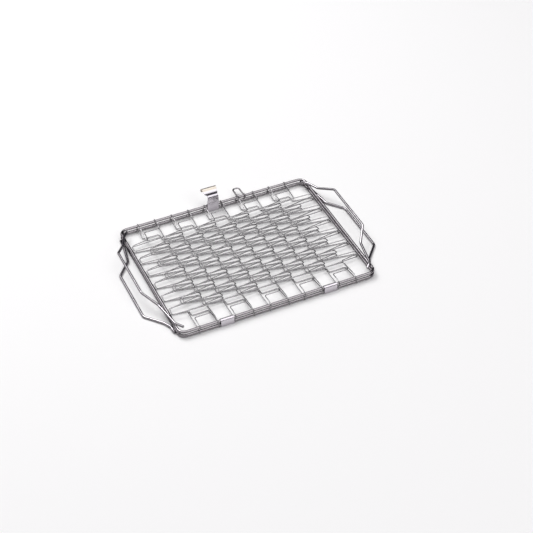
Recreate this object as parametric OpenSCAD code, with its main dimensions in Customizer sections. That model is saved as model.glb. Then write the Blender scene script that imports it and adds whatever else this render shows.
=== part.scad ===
/* [Frames] */
// Width of each frame between wire centres
frame_w = 326; // [300:1:350]
// Depth of each frame between wire centres
frame_d = 256; // [245:1:265]
// Diameter of the frame wire
frame_wire = 4.4; // [4:0.1:4.8]
// Centreline radius of the frame corners
corner_r = 11; // [9:0.5:14]
// Height between the two closed frames
frame_gap = 7.4; // [7.4:0.1:9]

/* [Mesh] */
// Distance between neighbouring attachment wires
cell_w = 28.9; // [28:0.1:29.4]
// Diameter of the coil wire
coil_wire = 1.5; // [1.4:0.1:1.9]
// Coil pitch of the upper half
upper_pitch = 31.7; // [31:0.1:32]
// Coil pitch of the lower half
lower_pitch = 31.2; // [30.8:0.1:31.6]
// Rise of one coil side over the other
coil_skew = 3.5; // [2:0.1:4]

/* [Handles] */
// Diameter of the handle wire
handle_wire = 4; // [3.6:0.1:4.2]
// Distance of the upper grips from the side wire
upper_reach = 29.5; // [24:0.5:34]
// Distance of the lower grips from the side wire
lower_reach = 33.5; // [24:0.5:36]
// Length of the straight grip
grip_len = 100; // [80:1:110]
// Tilt of the upper handles above the frame
upper_tilt = 31; // [20:1:40]

/* [Fittings] */
// Width of each hinge clip
clip_w = 21.6; // [18:0.2:21.6]
// Width of the catch strap
catch_w = 20; // [16:0.5:22]
// Length of the hanging loop behind its wire
loop_len = 24.5; // [18:0.5:26]
// Droop of the hanging loop at rest
loop_droop = 3; // [0:1:15]

/* [Hidden] */
$fn = 32;

sheet = 1;                        // thickness of the clip and catch sheet
run_gap = 0.08;                   // radial clearance of a turning fit
rod_shrink = 0.02;                // straight stretches are this much thinner than bends
rod_overlap = 0.2;                // and reach this far into them
frame_r = frame_wire / 2;
coil_r = coil_wire / 2;
handle_r = handle_wire / 2;
half_w = frame_w / 2;
half_d = frame_d / 2;
lower_z = frame_r + run_gap + sheet + 0.02;
upper_z = lower_z + frame_gap;

// coils
coil_rows = 6;                    // hairpin ends on each long side
coil_lift = coil_wire * 1.12;     // height of the upper and lower coil legs from the mid plane
hairpin_h = 5;                    // half height of a hairpin end
coil_bend = 3.1;                  // centreline bend radius
pass_by = 1.55;                   // the lower coils' hairpins pass the attachment line by this much
step_in = 2.2;                    // how far the stepped last leg stays inside its line
edge_gap = 1;                     // between the outermost hairpins and the side wires
edge_reach = min(5.475 * cell_w, half_w - frame_r - coil_r - edge_gap);
upper_shift = -1.6;               // sideways offset of each half's attachment wires
lower_shift = -1.6;
hook_r = frame_r + coil_r + 0.05; // centreline distance of a coil hook from the frame wire
hook_start = 9;                   // a low leg climbs to its hook this far before the wire
hook_tip = 1.8;                   // the hook ends this far past the wire's centre
upper_ends = [-107, 107];         // the stepped ends of the upper half's coils
lower_ends = [-105, 90.5];        // the same for the lower half, before it is turned over
lower_mid = -7;                   // middle of its rows, before it is turned over

// handles
handle_bend = 9;
grip_shift = 13;                  // the grips of the halves are moved apart along the frame
shoulder_out = 0.32;              // distance of the shoulders, as a share of the reach
shoulder_run = 26;                // length of the slope from grip to shoulder along the frame
weld = 0.2;                       // depth of a weld between two wires

// hanging loop
loop_r = 1.25;
loop_x = 49.8;
loop_w = 11.2;
loop_bend = 4.5;

// the object's box is centred on the origin
front_reach = half_d + hook_r + coil_r;
rear_reach = half_d + loop_len * cos(loop_droop) + loop_r;
mid_y = (front_reach - rear_reach) / 2;
front_y = mid_y - half_d;
rear_y = mid_y + half_d;

function unit(v) = v / norm(v);
function line_x(k) = (k - 4.5) * cell_w;
function reach(a, v, b, bend_r) = bend_r / tan(acos(unit(a - v) * unit(b - v)) / 2);

// straight wire from a to b, reaching a little past each end
module rod(a, b, r, before, after) {
  d = unit(b - a);
  translate(a - d * before)
    rotate([0, acos(d.z), atan2(d.y, d.x)])
      cylinder(h = norm(b - a) + before + after, r = r);
}

// bend in the wire at corner v, between points a and b
module bend(a, v, b, r, bend_r) {
  half = acos(unit(a - v) * unit(b - v)) / 2;
  n = unit(cross(unit(a - v), unit(b - v)));
  centre = v + unit(unit(a - v) + unit(b - v)) * (bend_r / sin(half));
  s = unit(v + unit(a - v) * reach(a, v, b, bend_r) - centre);
  turn_z = atan2(n.y, n.x);
  turn_y = acos(n.z);
  ex = [cos(turn_z) * cos(turn_y), sin(turn_z) * cos(turn_y), -sin(turn_y)];
  ey = [-sin(turn_z), cos(turn_z), 0];
  sweep = 180 - 2 * half;
  translate(centre)
    rotate([0, turn_y, turn_z])
      rotate([0, 0, atan2(s * ey, s * ex) - sweep])
        rotate_extrude(angle = sweep)
          translate([bend_r, 0]) circle(r = r);
}

// wire along pts with a bend at every inner point
module bent_wire(pts, r, bend_r) {
  last = len(pts) - 1;
  for (i = [0 : last - 1]) {
    a = pts[i];
    b = pts[i + 1];
    cut_a = i == 0 ? 0 : reach(pts[i - 1], a, b, bend_r);
    cut_b = i == last - 1 ? 0 : reach(a, b, pts[i + 2], bend_r);
    rod(a + unit(b - a) * cut_a, b - unit(b - a) * cut_b, r - rod_shrink,
        i == 0 ? 0 : rod_overlap, i == last - 1 ? 0 : rod_overlap);
  }
  for (i = [1 : last - 1]) bend(pts[i - 1], pts[i], pts[i + 1], r, bend_r);
}

// closed rounded rectangle of frame wire at height z
module frame_ring(z) {
  straight_w = half_w - corner_r;
  straight_d = half_d - corner_r;
  translate([0, mid_y, z]) {
    for (s = [-1, 1]) {
      translate([-straight_w, s * half_d, 0]) rotate([0, 90, 0])
        cylinder(h = 2 * straight_w, r = frame_r);
      translate([s * half_w, straight_d, 0]) rotate([90, 0, 0])
        cylinder(h = 2 * straight_d, r = frame_r);
    }
    for (q = [0 : 3])
      translate([(q == 0 || q == 3 ? 1 : -1) * straight_w, (q < 2 ? 1 : -1) * straight_d, 0])
        rotate([0, 0, 90 * q])
          rotate_extrude(angle = 90) translate([corner_r, 0]) circle(r = frame_r);
  }
}

// rows of a coil from back to front: hairpin ends joined by an upper and a lower leg
function row_y(i, pitch, mid) = mid + ((coil_rows - 1) / 2 - i) * pitch;

// coil whose hairpins start on the left; its last leg runs straight to the front frame
function left_coil(xl, xm, xr, pitch, mid, ends) = let (
    top = row_y(0, pitch, mid) + hairpin_h,
    rise = (pitch / 2 + coil_skew - 2 * hairpin_h) * (xm - xl) / (xr - xl)
  ) [
    [xr, ends[1], coil_lift],
    [xm + step_in, ends[1], coil_lift],
    [xm + step_in, top + rise, coil_lift],
    for (i = [0 : coil_rows - 1]) let (y = row_y(i, pitch, mid), yr = y - pitch / 2 + coil_skew) each
      i < coil_rows - 1
      ? [[xl, y + hairpin_h, coil_lift], [xl, y - hairpin_h, -coil_lift],
         [xr, yr + hairpin_h, -coil_lift], [xr, yr - hairpin_h, coil_lift]]
      : [[xl, y + hairpin_h, coil_lift], [xl, y - hairpin_h, -coil_lift], [xr, yr + hairpin_h, -coil_lift]]
  ];

// coil whose hairpins start on the right: the same coil turned half round and shifted half a pitch
function right_coil(xl, xm, xr, pitch, mid, ends) = let (
    turned = left_coil(-xr, -xm, -xl, pitch, -mid - coil_skew, [-ends[1], -ends[0]]),
    last = len(turned) - 1
  ) [for (i = [0 : last]) [-turned[last - i].x, -turned[last - i].y, turned[last - i].z]];

// hook over a long frame wire, for a leg that ends at height leg_z
// side is -1 at the front and 1 at the rear
function hook(x, side, leg_z) = let (tip = side * (half_d + hook_r)) concat(
    leg_z < 0 ? [[x, side * (half_d - hook_start), hook_r]] : [],
    [[x, tip, leg_z < 0 ? hook_r : hook_r + 0.1], [x, tip, -hook_tip]]);
function reverse(v) = [for (i = [len(v) - 1 : -1 : 0]) v[i]];

// complete coil j (0 to 9) of one half; flip is 1 for the upper half, -1 for the half turned over
function coil_path(j, pitch, mid, ends, flip) = let (
    shift = flip > 0 ? upper_shift : lower_shift,
    past = flip > 0 ? 0 : pass_by,
    xl = max(line_x(j - 1) + shift - past, -edge_reach),
    xm = line_x(j) + shift,
    xr = min(line_x(j + 1) + shift + past, edge_reach),
    core = j % 2 == 0
      ? left_coil(xl, xm, xr, pitch, mid, ends)
      : right_coil(xl, xm, xr, pitch, mid, ends),
    body = [for (q = core) [q.x, flip * q.y, flip * q.z]],
    first = body[0],
    last = body[len(body) - 1]
  ) concat(reverse(hook(first.x, flip, first.z)), body, hook(last.x, -flip, last.z));

module coil(j, pitch, mid, ends, flip, z) {
  translate([0, mid_y, z])
    bent_wire(coil_path(j, pitch, mid, ends, flip), coil_r, coil_bend);
}
module upper_coil(j) { color("silver") coil(j - 1, upper_pitch, 0, upper_ends, 1, upper_z); }
module lower_coil(j) { color("lightgray") coil(j - 1, lower_pitch, lower_mid, lower_ends, -1, lower_z); }

module lower_frame() { color("darkgray") frame_ring(lower_z); }
module upper_frame() { color("gray") frame_ring(upper_z); }

// sheet clip around both front wires: the lower wire is gripped, the upper one turns
module hinge_clip(x) {
  wall = frame_r + run_gap + sheet;
  pinch = 0.05;                         // the gripped wire is squeezed by this much
  slot_r = frame_r - 0.2;               // half width of the hollow between the wires
  color("lightgray")
    translate([x - clip_w / 2, front_y, 0])
      rotate([90, 0, 90]) linear_extrude(clip_w) difference() {
        union() {
          translate([-wall, 0]) square([2 * wall, upper_z]);
          translate([0, upper_z]) circle(r = wall);
        }
        translate([0, lower_z]) circle(r = frame_r - pinch);
        translate([0, upper_z]) circle(r = frame_r + run_gap);
        translate([-slot_r, lower_z]) square([2 * slot_r, frame_gap]);
      }
}
module hinge_clip_left() { hinge_clip(lower_shift - 2.98 * cell_w); }
module hinge_clip_right() { hinge_clip(lower_shift + 2.98 * cell_w); }

// points of a bend in the strap's side profile, without its first point
function arc(centre, r, from, to, n) =
  [for (i = [1 : n]) centre + r * [cos(from + (to - from) * i / n), sin(from + (to - from) * i / n)]];
function normal(path, i) = let (
    d = unit(path[min(i + 1, len(path) - 1)] - path[max(i - 1, 0)])
  ) [-d.y, d.x];

// bent sheet strap whose barrel turns on the upper rear wire
module catch_lever() {
  stand = frame_r + 0.3 + sheet / 2;    // strap centre in front of the wires
  tail = -frame_gap - frame_r - 0.4;    // end of the strap, beside the lower wire
  crown_z = 18;                         // top of the upright plate
  crown_r = 3;
  trough_r = 13;
  curl_r = 3.6;
  crown = [-stand + crown_r, crown_z];
  trough = crown + (crown_r + trough_r) * [cos(75), sin(75)];
  curl = trough + (trough_r + curl_r) * [cos(-50), sin(-50)];
  path = concat(
    [[-stand, tail], [-stand, crown_z]],
    arc(crown, crown_r, 180, 75, 8),
    arc(trough, trough_r, 255, 310, 10),
    arc(curl, curl_r, 130, -50, 12));
  last = len(path) - 1;
  color("gainsboro")
    translate([upper_shift - catch_w / 2, rear_y, upper_z])
      rotate([90, 0, 90]) difference() {
        union() {
          linear_extrude(catch_w) polygon(concat(
            [for (i = [0 : last]) path[i] + normal(path, i) * sheet / 2],
            [for (i = [last : -1 : 0]) path[i] - normal(path, i) * sheet / 2]));
          cylinder(h = catch_w, r = frame_r + run_gap + sheet);
        }
        translate([0, 0, -1]) cylinder(h = catch_w + 2, r = frame_r + run_gap);
      }
}

// wire loop that swings on the upper rear wire
module hanging_loop() {
  eye_r = frame_r + run_gap + loop_r;
  color("silver")
    translate([loop_x, rear_y, upper_z]) rotate([-loop_droop, 0, 0]) {
      for (s = [-1, 1])
        translate([s * loop_w / 2, 0, 0]) rotate([0, 90, 0])
          rotate_extrude() translate([eye_r, 0]) circle(r = loop_r);
      bent_wire([[-loop_w / 2, eye_r, 0], [-loop_w / 2, loop_len, 0],
                 [loop_w / 2, loop_len, 0], [loop_w / 2, eye_r, 0]], loop_r, loop_bend);
    }
}

// wire bail of a handle; side is -1 at the left; offset moves the grip along the frame
module handle(side, z, reach_out, tilt, offset, ends) {
  shoulder = reach_out * shoulder_out;
  function tilted(out, y) = [side * out * cos(tilt), y, out * sin(tilt)];
  grip = grip_len / 2;
  spread = grip + shoulder_run;
  path = concat(
    ends(-1),
    [tilted(shoulder, offset - spread), tilted(reach_out, offset - grip),
     tilted(reach_out, offset + grip), tilted(shoulder, offset + spread)],
    reverse(ends(1)));
  color("silver")
    translate([side * half_w, mid_y, z]) bent_wire(path, handle_r, handle_bend);
}
// the upper handles cross over the side wire and end in a short stub inside the frame
module upper_handle(side) {
  over = frame_r + handle_r - weld;
  stub = [9, 119, over - 1.2];          // end inside the frame, half way along, height
  cross_y = 108;                        // half distance between the two crossings
  handle(side, upper_z, upper_reach, upper_tilt, grip_shift,
         function(e) [[-side * stub.x, e * stub.y, stub.z], [0, e * cross_y, over]]);
}
// the lower handles lie along the outside of the side wire
module lower_handle(side) {
  beside = frame_r + handle_r - weld;
  foot_y = [114, 101];                  // where the welded stretch starts and ends
  part_by = 0.6;                        // it leaves the side wire by this much
  drop = lower_z - handle_r - 0.1;      // the grip comes down just short of the table
  handle(side, lower_z, lower_reach, -asin(drop / lower_reach), -grip_shift,
         function(e) [[side * beside, e * foot_y[0], 0],
                      [side * (beside + part_by), e * foot_y[1], 0]]);
}

module upper_handle_left() { upper_handle(-1); }
module upper_handle_right() { upper_handle(1); }
module lower_handle_left() { lower_handle(-1); }
module lower_handle_right() { lower_handle(1); }

lower_frame();
upper_frame();
lower_coil(1);  // lower_coil_1
lower_coil(2);  // lower_coil_2
lower_coil(3);  // lower_coil_3
lower_coil(4);  // lower_coil_4
lower_coil(5);  // lower_coil_5
lower_coil(6);  // lower_coil_6
lower_coil(7);  // lower_coil_7
lower_coil(8);  // lower_coil_8
lower_coil(9);  // lower_coil_9
lower_coil(10);  // lower_coil_10
upper_coil(1);  // upper_coil_1
upper_coil(2);  // upper_coil_2
upper_coil(3);  // upper_coil_3
upper_coil(4);  // upper_coil_4
upper_coil(5);  // upper_coil_5
upper_coil(6);  // upper_coil_6
upper_coil(7);  // upper_coil_7
upper_coil(8);  // upper_coil_8
upper_coil(9);  // upper_coil_9
upper_coil(10);  // upper_coil_10
hinge_clip_left();
hinge_clip_right();
catch_lever();
hanging_loop();
lower_handle_left();
lower_handle_right();
upper_handle_left();
upper_handle_right();
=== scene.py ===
"""Wire grill basket, closed and lying flat.

Lengths are in millimetres and are scaled to metres when a mesh is made.
"""

import math

import bmesh
import bpy
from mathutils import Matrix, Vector


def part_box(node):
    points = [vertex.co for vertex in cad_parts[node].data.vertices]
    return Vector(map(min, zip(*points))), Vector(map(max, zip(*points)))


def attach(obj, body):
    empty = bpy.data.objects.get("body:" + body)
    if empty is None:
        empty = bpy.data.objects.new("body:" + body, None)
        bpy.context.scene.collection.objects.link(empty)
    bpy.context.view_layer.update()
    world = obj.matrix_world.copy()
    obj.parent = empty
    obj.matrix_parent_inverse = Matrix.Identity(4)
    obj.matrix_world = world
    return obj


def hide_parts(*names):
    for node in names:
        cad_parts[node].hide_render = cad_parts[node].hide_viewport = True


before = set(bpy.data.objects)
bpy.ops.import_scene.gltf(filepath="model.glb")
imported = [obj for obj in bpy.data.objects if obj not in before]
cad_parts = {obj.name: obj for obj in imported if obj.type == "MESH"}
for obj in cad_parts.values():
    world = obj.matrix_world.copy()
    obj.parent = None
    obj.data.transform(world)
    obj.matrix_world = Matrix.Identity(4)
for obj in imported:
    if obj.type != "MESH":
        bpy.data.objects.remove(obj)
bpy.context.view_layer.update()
MM = 0.001

# --- driving sizes, the same as the CAD's ---------------------------------------------------------
FRAME_R, COIL_R, HANDLE_R, LOOP_R = 2.2, 0.75, 2.0, 1.25
HALF_W, HALF_D, CORNER_R = 163.0, 128.0, 11.0
SHEET, RUN_GAP = 1.0, 0.08
FRAME_GAP = 7.4
CELL = 28.9
PITCH = {"upper": 31.7, "lower": 31.2}
MIDDLE = {"upper": 0.0, "lower": -7.0}
ENDS = {"upper": (-107.0, 107.0), "lower": (-105.0, 90.5)}
COILS, ROWS, HAIRPIN_H, COIL_LIFT, SKEW = 10, 6, 5.0, 2.24 * COIL_R, 3.5
COIL_BEND, STEP_IN, EDGE = 3.1, 2.2, 5.475 * CELL
PASS_BY = {"upper": 0.0, "lower": 1.55}
LINE_SHIFT = {"upper": -1.6, "lower": -1.6}
HOOK_R, HOOK_START = FRAME_R + COIL_R + 0.05, 9.0
UPPER_REACH, LOWER_REACH, GRIP_LEN, GRIP_SHIFT = 29.5, 33.5, 100.0, 13.0
UPPER_TILT, SHOULDER_OUT, SHOULDER_RUN, HANDLE_BEND, WELD = 31, 0.32, 26.0, 9.0, 0.2
UPPER_TIP, UPPER_FOOT, TIP_IN, TIP_DROP = 119, 108, 9, 1.2
LOWER_TIP, LOWER_FOOT = 114, 101
CLIP_W, CLIP_X = 21.6, 2.98 * CELL
CATCH_W, CATCH_X = 20.0, -1.6
LOOP_X, LOOP_W, LOOP_LEN, LOOP_DROOP = 49.8, 11.2, 24.5, 3.0

# the frames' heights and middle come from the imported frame
low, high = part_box("lower_frame")
LOWER_Z = (low.z + high.z) / 2 / MM
MID_Y = (low.y + high.y) / 2 / MM
UPPER_Z = LOWER_Z + FRAME_GAP
FRONT_Y, REAR_Y = MID_Y - HALF_D, MID_Y + HALF_D


# --- materials ------------------------------------------------------------------------------------
def metal(name, colour, roughness, grain, grain_size, bump):
    """Bright metal with a fine grain in its roughness and surface."""
    mat = bpy.data.materials.new(name)
    mat.use_nodes = True
    nodes, links = mat.node_tree.nodes, mat.node_tree.links
    shader = nodes["Principled BSDF"]
    shader.inputs["Base Color"].default_value = (*colour, 1)
    shader.inputs["Metallic"].default_value = 1.0
    # The near-black edge tint darkens every wire and sheet towards its outline: painted shade for dark rims
    shader.inputs["Specular Tint"].default_value = (0.12, 0.11, 0.12, 1)
    where = nodes.new("ShaderNodeTexCoord")
    noise = nodes.new("ShaderNodeTexNoise")
    noise.inputs["Scale"].default_value = grain_size
    noise.inputs["Detail"].default_value = 4
    links.new(where.outputs["Object"], noise.inputs["Vector"])
    spread = nodes.new("ShaderNodeMapRange")
    spread.inputs["To Min"].default_value = roughness - grain
    spread.inputs["To Max"].default_value = roughness + grain
    links.new(noise.outputs["Fac"], spread.inputs["Value"])
    links.new(spread.outputs["Result"], shader.inputs["Roughness"])
    relief = nodes.new("ShaderNodeBump")
    relief.inputs["Strength"].default_value = bump
    relief.inputs["Distance"].default_value = 0.0002
    links.new(noise.outputs["Fac"], relief.inputs["Height"])
    links.new(relief.outputs["Normal"], shader.inputs["Normal"])
    return mat


frame_metal = metal("frame wire", (0.34, 0.32, 0.335), 0.12, 0.02, 900, 0.01)
mesh_metal = metal("mesh wire", (0.42, 0.41, 0.42), 0.24, 0.04, 1400, 0.02)
handle_metal = metal("handle wire", (0.40, 0.38, 0.40), 0.15, 0.02, 900, 0.01)
sheet_metal = metal("bent sheet", (0.60, 0.57, 0.61), 0.20, 0.06, 500, 0.12)
# Warm tan for the catch's finger lip: a painted warm reflection in the lip's colour, not wear
lip_reflection_metal = metal("lip painted reflection", (0.62, 0.57, 0.50), 0.30, 0.08, 500, 0.2)
weld_metal = metal("weld", (0.36, 0.34, 0.36), 0.40, 0.10, 1500, 0.5)


# --- shapes ---------------------------------------------------------------------------------------
def finish_piece(name, bm, mat, body, stands_for=(), smooth_angle=40):
    """Makes an object of a bmesh whose lengths are in millimetres."""
    bmesh.ops.scale(bm, vec=(MM, MM, MM), verts=bm.verts)
    bmesh.ops.recalc_face_normals(bm, faces=bm.faces)
    mesh = bpy.data.meshes.new(name)
    bm.to_mesh(mesh)
    bm.free()
    for face in mesh.polygons:
        face.use_smooth = True
    mesh.set_sharp_from_angle(angle=math.radians(smooth_angle))
    mesh.materials.append(mat)
    obj = bpy.data.objects.new(name, mesh)
    bpy.context.scene.collection.objects.link(obj)
    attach(obj, body)
    if stands_for:
        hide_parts(*stands_for)
    return obj


def rounded(points, bend, closed=False, step=18):
    """The points of a wire's centreline, with an arc of radius bend at each corner."""
    pts = [Vector(p) for p in points]
    n = len(pts)
    out = []
    for i, v in enumerate(pts):
        if not closed and i in (0, n - 1):
            out.append(v)
            continue
        a, b = pts[i - 1] - v, pts[(i + 1) % n] - v
        u, w = a.normalized(), b.normalized()
        turn = math.pi - u.angle(w)
        if turn < 0.02:
            out.append(v)
            continue
        r = min(bend, 0.49 * min(a.length, b.length) / math.tan(turn / 2))
        start = v + u * r * math.tan(turn / 2)
        end = v + w * r * math.tan(turn / 2)
        centre = v + (u + w).normalized() * r / math.cos(turn / 2)
        count = max(2, math.ceil(math.degrees(turn) / step))
        s, e = start - centre, end - centre
        for k in range(count + 1):
            t = k / count
            out.append(centre + (s * math.sin((1 - t) * turn) + e * math.sin(t * turn)) / math.sin(turn)
                       if turn < math.pi - 0.01 else centre + s.lerp(e, t))
    return out


def sweep(bm, path, radius, sides=12, closed=False):
    """Round wire of that radius along path, with domed ends."""
    n = len(path)
    tangents = []
    for i in range(n):
        before = path[i - 1] if closed or i else path[i]
        after = path[(i + 1) % n] if closed or i < n - 1 else path[i]
        tangents.append((after - before).normalized())
    side = tangents[0].orthogonal().normalized()
    rings = []
    for centre, t in zip(path, tangents):
        side = (side - t * side.dot(t)).normalized()
        across = t.cross(side)
        ring = []
        for k in range(sides):
            a = 2 * math.pi * k / sides
            ring.append(bm.verts.new(centre + (side * math.cos(a) + across * math.sin(a)) * radius))
        rings.append(ring)
    pairs = list(zip(rings, rings[1:]))
    if closed:
        last, first = rings[-1], rings[0]
        shift = min(range(sides), key=lambda s: (first[s].co - last[0].co).length)
        pairs.append((last, first[shift:] + first[:shift]))
    for a, b in pairs:
        for k in range(sides):
            bm.faces.new((a[k], a[(k + 1) % sides], b[(k + 1) % sides], b[k]))
    if not closed:
        for ring, t, end in ((rings[0], -tangents[0], path[0]), (rings[-1], tangents[-1], path[-1])):
            inner = [bm.verts.new(end + (v.co - end) * 0.8 + t * radius * 0.25) for v in ring]
            for k in range(sides):
                bm.faces.new((ring[k], ring[(k + 1) % sides], inner[(k + 1) % sides], inner[k]))
            bm.faces.new(inner)


def wire(name, points, radius, bend, mat, body, sides=12, closed=False, step=18):
    """A bent round wire that stands for the CAD piece of that name."""
    bm = bmesh.new()
    sweep(bm, rounded(points, bend, closed, step), radius, sides, closed)
    return finish_piece(name + "_wire", bm, mat, body, [name], 60)


def blob(bm, centre, size, seed):
    """Small uneven weld bead."""
    made = bmesh.ops.create_icosphere(bm, subdivisions=3, radius=1)["verts"]
    for v in made:
        d = v.co.copy()
        ripple = 1 + 0.06 * math.sin(5 * d.x + seed) * math.cos(4 * d.y + 2 * seed)
        v.co = Vector(centre) + Vector((d.x * size[0], d.y * size[1], d.z * size[2])) * ripple


# --- frames ---------------------------------------------------------------------------------------
for half, z in (("lower", LOWER_Z), ("upper", UPPER_Z)):
    corners = [(sx * HALF_W, MID_Y + sy * HALF_D, z) for sx, sy in ((-1, -1), (1, -1), (1, 1), (-1, 1))]
    wire(half + "_frame", corners, FRAME_R, CORNER_R, frame_metal, half + "_half",
         sides=20, closed=True, step=9)


# --- mesh -----------------------------------------------------------------------------------------
def line_x(k):
    """The k-th line along which mesh wires are attached to the long frame wires."""
    return (k - (COILS - 1) / 2) * CELL


def left_core(xl, xm, xr, pitch, mid, ends):
    """Coil whose hairpins start on the left; its last leg runs straight to the front frame."""
    rows = [mid + ((ROWS - 1) / 2 - i) * pitch for i in range(ROWS)]
    rise = (pitch / 2 + SKEW - 2 * HAIRPIN_H) * (xm - xl) / (xr - xl)
    out = [(xr, ends[1], COIL_LIFT), (xm + STEP_IN, ends[1], COIL_LIFT),
           (xm + STEP_IN, rows[0] + HAIRPIN_H + rise, COIL_LIFT)]
    for i, y in enumerate(rows):
        yr = y - pitch / 2 + SKEW
        out += [(xl, y + HAIRPIN_H, COIL_LIFT), (xl, y - HAIRPIN_H, -COIL_LIFT),
                (xr, yr + HAIRPIN_H, -COIL_LIFT)]
        if i < ROWS - 1:
            out.append((xr, yr - HAIRPIN_H, COIL_LIFT))
    return out


def coil_core(j, half):
    shift, past = LINE_SHIFT[half], PASS_BY[half]
    xl = max(line_x(j - 1) + shift - past, -EDGE)
    xm = line_x(j) + shift
    xr = min(line_x(j + 1) + shift + past, EDGE)
    pitch, mid, ends = PITCH[half], MIDDLE[half], ENDS[half]
    if j % 2 == 0:
        return left_core(xl, xm, xr, pitch, mid, ends)
    turned = left_core(-xr, -xm, -xl, pitch, -mid - SKEW, (-ends[1], -ends[0]))
    return [(-x, -y, z) for x, y, z in reversed(turned)]


def hook(x, side, under):
    """From inside the frame over the frame wire, then round it to that angle below its middle."""
    turns = [90 - a for a in range(0, 90 + under + 1, 15)]
    ring = [(x, side * (HALF_D + HOOK_R * math.cos(math.radians(a))), HOOK_R * math.sin(math.radians(a)))
            for a in turns]
    return [(x, side * (HALF_D - HOOK_START), HOOK_R)] + ring


for half, z, flip, under in (("upper", UPPER_Z, 1, 45), ("lower", LOWER_Z, -1, 30)):
    for j in range(COILS):
        body_pts = [(x, flip * y, flip * h) for x, y, h in coil_core(j, half)]
        first_x, last_x = body_pts[0][0], body_pts[-1][0]
        path = hook(first_x, flip, under)[::-1] + body_pts + hook(last_x, -flip, under)
        placed = [(x, y + MID_Y, h + z) for x, y, h in path]
        wire(f"{half}_coil_{j + 1}", placed, COIL_R, COIL_BEND, mesh_metal, half + "_half",
             sides=8, step=22)


# --- handles --------------------------------------------------------------------------------------
def bail(side, reach, tilt, shift):
    """The four bends of a grip, seen from its side wire: shoulder, grip, grip, shoulder."""
    shoulder = reach * SHOULDER_OUT
    grip = GRIP_LEN / 2
    spread = grip + SHOULDER_RUN
    c, s = math.cos(math.radians(tilt)), math.sin(math.radians(tilt))
    return [(side * out * c, shift + y, out * s)
            for out, y in ((shoulder, -spread), (reach, -grip), (reach, grip), (shoulder, spread))]


def handle(half, where, z, path):
    """One handle, from its points seen from the side wire at height z."""
    side = -1 if where == "left" else 1
    placed = [(side * HALF_W + x, MID_Y + y, z + h) for x, y, h in path]
    wire(f"{half}_handle_{where}", placed, HANDLE_R, HANDLE_BEND, handle_metal, half + "_half",
         sides=16, step=9)


def weld(half, where, end, centre, size, seed):
    """The bead between one end of a handle and the side wire."""
    bm = bmesh.new()
    blob(bm, centre, size, seed)
    finish_piece(f"weld_{half}_{where}_{end}", bm, weld_metal, half + "_half")


over = FRAME_R + HANDLE_R - WELD
drop = LOWER_Z - HANDLE_R - 0.1
for side, where in ((-1, "left"), (1, "right")):
    up = bail(side, UPPER_REACH, UPPER_TILT, GRIP_SHIFT)
    ends = {e: [(-side * TIP_IN, e * UPPER_TIP, over - TIP_DROP), (0, e * UPPER_FOOT, over)] for e in (-1, 1)}
    handle("upper", where, UPPER_Z, ends[-1] + up + ends[1][::-1])
    down = bail(side, LOWER_REACH, -math.degrees(math.asin(drop / LOWER_REACH)), -GRIP_SHIFT)
    ends = {e: [(side * over, e * LOWER_TIP, 0), (side * (over + 0.6), e * LOWER_FOOT, 0)] for e in (-1, 1)}
    handle("lower", where, LOWER_Z, ends[-1] + down + ends[1][::-1])
    for e, end in ((-1, "front"), (1, "rear")):
        weld("upper", where, end, (side * (HALF_W - 0.3), MID_Y + e * (UPPER_FOOT + 0.5), UPPER_Z + FRAME_R),
             (1.6, 2.4, 0.9), side + 2 * e)
        weld("lower", where, end, (side * (HALF_W + FRAME_R), MID_Y + e * (LOWER_FOOT + 7), LOWER_Z),
             (0.9, 4.0, 1.6), side + 3 * e)


# --- sheet parts ----------------------------------------------------------------------------------
def arc(centre, r, start, stop, n):
    """Points of an arc in a side profile, without its first point."""
    return [(centre[0] + r * math.cos(math.radians(start + (stop - start) * k / n)),
             centre[1] + r * math.sin(math.radians(start + (stop - start) * k / n))) for k in range(1, n + 1)]


def bevel(obj, width):
    """Rounds the sheet's sharp edges."""
    mod = obj.modifiers.new("edges", "BEVEL")
    mod.width = width * MM
    mod.segments = 2
    mod.limit_method = "ANGLE"
    mod.angle_limit = math.radians(50)
    return obj


def clip(where, x):
    """Sheet wrapped round both front wires."""
    wall, foot = FRAME_R + RUN_GAP + SHEET, 0.6
    slot = FRAME_R - 0.2
    bm = bmesh.new()
    outline = [(-wall + foot, 0), (wall - foot, 0), (wall, foot)]
    outline += [(wall, UPPER_Z)] + arc((0, UPPER_Z), wall, 0, 180, 14)
    outline += [(-wall, foot)]
    hole = [(slot, LOWER_Z + 0.9), (slot, UPPER_Z - 1.1)]
    hole += arc((0, UPPER_Z), FRAME_R + RUN_GAP, -20, 200, 16)
    hole += [(-slot, UPPER_Z - 1.1), (-slot, LOWER_Z + 0.9)]
    hole += arc((0, LOWER_Z), FRAME_R - 0.05, 155, 385, 16)
    rings = []
    for end in (-CLIP_W / 2, CLIP_W / 2):
        rings.append([[bm.verts.new((x + end, FRONT_Y + y, z)) for y, z in ring] for ring in (outline, hole)])
    for which in (0, 1):
        a, b = rings[0][which], rings[1][which]
        for k in range(len(a)):
            m = (k + 1) % len(a)
            bm.faces.new((a[k], a[m], b[m], b[k]))
    for end in rings:
        edges = []
        for ring in end:
            for k in range(len(ring)):
                edges.append(bm.edges.get((ring[k], ring[(k + 1) % len(ring)])))
        bmesh.ops.triangle_fill(bm, use_beauty=True, edges=edges)
    piece = finish_piece(f"hinge_clip_{where}_sheet", bm, sheet_metal, "lower_half",
                         [f"hinge_clip_{where}"], 30)
    bevel(piece, 0.25)


clip("left", LINE_SHIFT["lower"] - CLIP_X)
clip("right", LINE_SHIFT["lower"] + CLIP_X)


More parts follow.
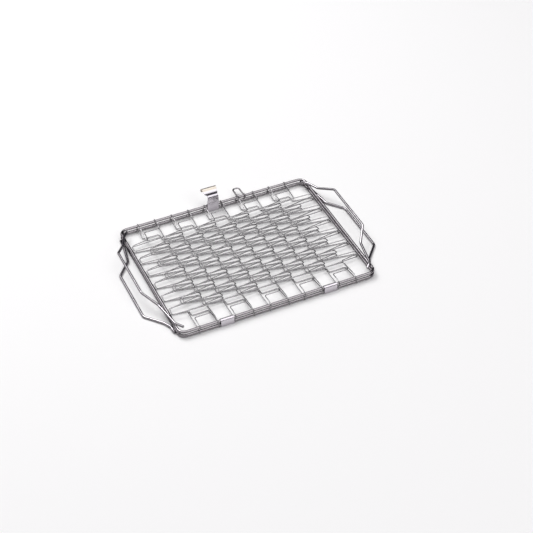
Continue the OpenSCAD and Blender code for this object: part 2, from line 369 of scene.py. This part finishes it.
def catch():
    """Sheet strap with a dished finger lip, and its barrel round the upper rear wire."""
    stand = FRAME_R + 0.3 + SHEET / 2
    crown_r, trough_r, curl_r, crown_z = 3.0, 13.0, 3.6, 17.95
    crown = (-stand + crown_r, crown_z)
    trough = arc(crown, crown_r + trough_r, 75, 75, 1)[0]
    curl = arc(trough, trough_r + curl_r, -50, -50, 1)[0]
    path = [(-stand, -FRAME_GAP - FRAME_R - 0.4), (-stand, -4.0), (-stand, 0.0), (-stand, 4.0), (-stand, 9.0),
            (-stand, crown_z)]
    straight = len(path)
    path += arc(crown, crown_r, 180, 75, 10)
    path += arc(trough, trough_r, 255, 310, 14)
    path += arc(curl, curl_r, 130, -50, 18)
    n = len(path)
    bm = bmesh.new()
    rows = []
    for i, (y, z) in enumerate(path):
        ahead, behind = path[min(i + 1, n - 1)], path[max(i - 1, 0)]
        d = Vector((ahead[0] - behind[0], ahead[1] - behind[1])).normalized()
        ny, nz = -d.y * SHEET / 2, d.x * SHEET / 2
        t = max(0.0, (i - straight - 6) / (n - straight - 6))
        half = CATCH_W / 2 + 3.0 * min(1.0, 1.6 * t) - (0.8 if straight - 1 <= i <= straight + 12 else 0)
        row = [bm.verts.new((CATCH_X + x, REAR_Y + y + s * ny, UPPER_Z + z + s * nz))
               for s, x in ((1, -half), (1, half), (-1, half), (-1, -half))]
        rows.append(row)
    for a, b in zip(rows, rows[1:]):
        for k in range(4):
            m = (k + 1) % 4
            bm.faces.new((a[k], a[m], b[m], b[k]))
    bm.faces.new(rows[0])
    bm.faces.new(rows[-1])
    for face in bm.faces:
        # Faces past the start of the curl, the lip's top, get the tan material: painted warm reflection
        face.material_index = int(face.calc_center_median().y > REAR_Y + curl[0] - 4.5)
    piece = finish_piece("catch_lever_strap", bm, sheet_metal, "catch", ["catch_lever"], 35)
    piece.data.materials.append(lip_reflection_metal)
    bevel(piece, 0.2)
    bm = bmesh.new()
    rings = []
    for x in (CATCH_X - CATCH_W / 2, CATCH_X + CATCH_W / 2):
        for r in (FRAME_R + RUN_GAP, FRAME_R + RUN_GAP + SHEET):
            turns = [math.radians(a) for a in range(0, 360, 12)]
            rings.append([bm.verts.new((x, REAR_Y + r * math.cos(a), UPPER_Z + r * math.sin(a)))
                          for a in turns])
    for a, b in ((0, 1), (1, 3), (3, 2), (2, 0)):
        for k in range(len(turns)):
            m = (k + 1) % len(turns)
            bm.faces.new((rings[a][k], rings[a][m], rings[b][m], rings[b][k]))
    bevel(finish_piece("catch_lever_barrel", bm, sheet_metal, "catch", (), 35), 0.15)


catch()

# --- hanging loop ---------------------------------------------------------------------------------
droop = math.radians(-LOOP_DROOP)
eye_r = FRAME_R + RUN_GAP + LOOP_R


def loop_point(x, y, z):
    """A point of the loop's own frame, whose origin is on the upper rear wire."""
    return (LOOP_X + x, REAR_Y + y * math.cos(droop) - z * math.sin(droop),
            UPPER_Z + y * math.sin(droop) + z * math.cos(droop))


def eye(x):
    """The turn of the loop's wire round the rear wire."""
    return [loop_point(x, eye_r * math.cos(math.radians(a)), eye_r * math.sin(math.radians(a)))
            for a in range(-285, 1, 15)]


half_loop = LOOP_W / 2
left_eye = eye(-half_loop)
right_eye = eye(half_loop)
bow = [loop_point(-half_loop, LOOP_LEN, 0), loop_point(half_loop, LOOP_LEN, 0)]
bm = bmesh.new()
sweep(bm, rounded([*left_eye, *bow, *reversed(right_eye)], 4.5, step=12), LOOP_R, 12)
finish_piece("hanging_loop_wire", bm, frame_metal, "loop", ["hanging_loop"], 60)

# --- floor, light and camera ----------------------------------------------------------------------
bpy.ops.mesh.primitive_plane_add(size=40, location=(0, 0, 0))
floor = bpy.context.object
floor.name = "floor"
paper = bpy.data.materials.new("paper")
paper.use_nodes = True
paper_shader = paper.node_tree.nodes["Principled BSDF"]
paper_shader.inputs["Base Color"].default_value = (0.90, 0.895, 0.895, 1)
paper_shader.inputs["Roughness"].default_value = 0.9
floor.data.materials.append(paper)

world = bpy.data.worlds.new("studio")
bpy.context.scene.world = world
world.use_nodes = True
sky = world.node_tree.nodes["Background"]
# the sky is bright overhead and dim lower down, so that the wires show bright tops and dark sides
where = world.node_tree.nodes.new("ShaderNodeTexCoord")
height = world.node_tree.nodes.new("ShaderNodeSeparateXYZ")
ramp = world.node_tree.nodes.new("ShaderNodeValToRGB")
world.node_tree.links.new(where.outputs["Generated"], height.inputs["Vector"])
world.node_tree.links.new(height.outputs["Z"], ramp.inputs["Fac"])
world.node_tree.links.new(ramp.outputs["Color"], sky.inputs["Color"])
dim, bright = ramp.color_ramp.elements
dim.position, dim.color = 0.72, (0.03, 0.03, 0.035, 1)
bright.position, bright.color = 0.90, (1.0, 0.995, 1.0, 1)
sky.inputs["Strength"].default_value = 1.8


def softbox(name, place, size, power):
    """Rectangular lamp that faces the basket."""
    data = bpy.data.lights.new(name, "AREA")
    data.shape = "RECTANGLE"
    data.size, data.size_y = size
    data.energy = power
    lamp = bpy.data.objects.new(name, data)
    lamp.location = place
    lamp.rotation_mode = "QUATERNION"
    lamp.rotation_quaternion = (-Vector(place)).to_track_quat("-Z", "Y")
    bpy.context.scene.collection.objects.link(lamp)


softbox("key", (-0.55, 1.3, 2.4), (1.4, 0.9), 26)
softbox("back", (-0.70, 1.9, 1.95), (1.3, 0.9), 11)
softbox("front", (0.95, -1.95, 1.80), (1.4, 0.8), 10)

target = Vector((14.8, MID_Y - 46.8, UPPER_Z)) * MM
azimuth, elevation, distance = math.radians(-24.858), math.radians(41.8675), 2.1087
back = Vector((math.sin(azimuth) * math.cos(elevation), -math.cos(azimuth) * math.cos(elevation),
               math.sin(elevation)))
camera_data = bpy.data.cameras.new("camera")
camera_data.lens = 91.63
camera_data.sensor_width = 36
camera_data.clip_start, camera_data.clip_end = 0.05, 60
camera = bpy.data.objects.new("camera", camera_data)
camera.location = target + back * distance
camera.rotation_mode = "QUATERNION"
camera.rotation_quaternion = (-back).to_track_quat("-Z", "Y")
bpy.context.scene.collection.objects.link(camera)
bpy.context.scene.camera = camera
bpy.context.scene.view_settings.view_transform = "Standard"

bpy.context.view_layer.update()
